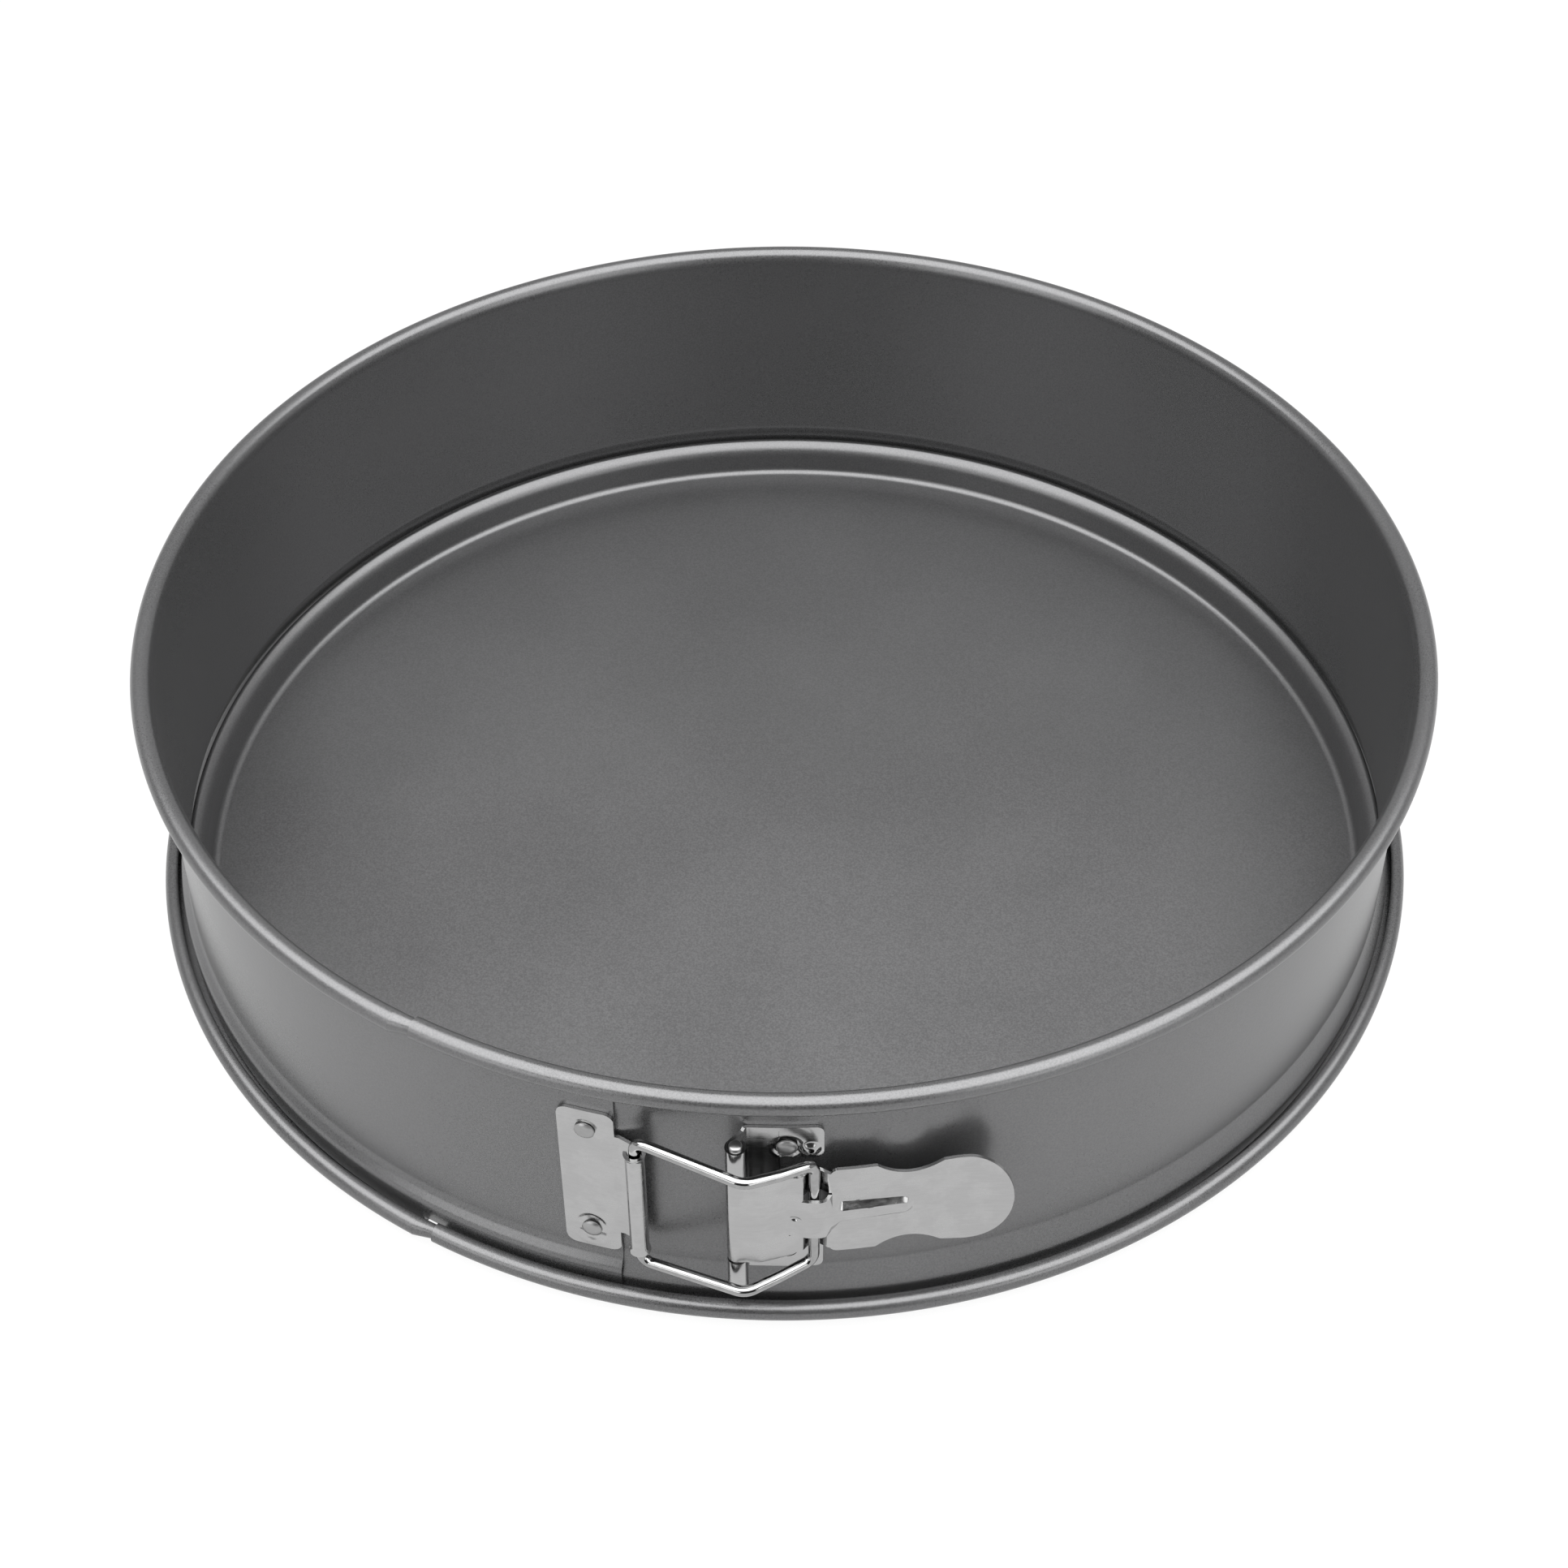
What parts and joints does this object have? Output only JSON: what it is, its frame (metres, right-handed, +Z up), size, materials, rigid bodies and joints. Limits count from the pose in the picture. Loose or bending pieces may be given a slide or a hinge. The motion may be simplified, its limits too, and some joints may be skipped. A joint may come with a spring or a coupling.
{
  "type": "round cake tin",
  "caption": "Round loose-bottomed cake tin: sprung steel ring with lapped ends, over-centre lever clip with a wire link, and a shallow loose base plate.",
  "frame": {"origin": "centre of the flat underside of the base plate, on the tin's axis", "axes": "+Z up along the tin's axis; -Y towards the clip at the front; +X to the right seen from the front, the way the lever points when closed"},
  "size_m": [0.2943, 0.2989, 0.0697],
  "materials": {
    "base_coating": "satin non-stick coating",
    "band_coating": "satin non-stick coating",
    "tinplate": "bright plated pressed sheet",
    "bright_wire": "bright plated wire",
    "rivet_steel": "bright plated"
  },
  "bodies": {
    "base": {"base_plate": "base_coating"},
    "ring": {"band": "band_coating", "pivot_bracket": "tinplate", "bracket_rivet_upper": "rivet_steel", "bracket_rivet_lower": "rivet_steel", "lever_pin": "rivet_steel"},
    "lever_arm": {"lever": "tinplate"},
    "link": {"wire_link": "bright_wire"},
    "keeper_end": {"keeper_plate": "tinplate", "keeper_rivet_upper": "rivet_steel", "keeper_rivet_lower": "rivet_steel"}
  },
  "joints": [
    {"name": "ring_lift", "type": "slide", "parent": "base", "child": "ring", "axis": [0, 0, 1], "range_m": [0, 0.08]},
    {"name": "lever_swing", "type": "hinge", "parent": "ring", "child": "lever_arm", "pos_m": [-0.0098, -0.1454, 0.0366], "axis": [0, 0, -1], "range_deg": [0, 120]},
    {"name": "link_swing", "type": "hinge", "parent": "lever_arm", "child": "link", "pos_m": [0.0053, -0.1446, 0.0366], "axis": [0, 0, 1], "range_deg": [0, 91.2]},
    {"name": "keeper_swing", "type": "hinge", "parent": "link", "child": "keeper_end", "pos_m": [-0.0294, -0.1418, 0.0366], "axis": [0, 0, 1], "range_deg": [0, 25.8], "deforming": ["band"]}
  ],
  "couplings": [
    {"joint": "link_swing", "follows": "lever_swing", "ratio": 0.7589},
    {"joint": "keeper_swing", "follows": "lever_swing", "ratio": 0.21363}
  ]
}
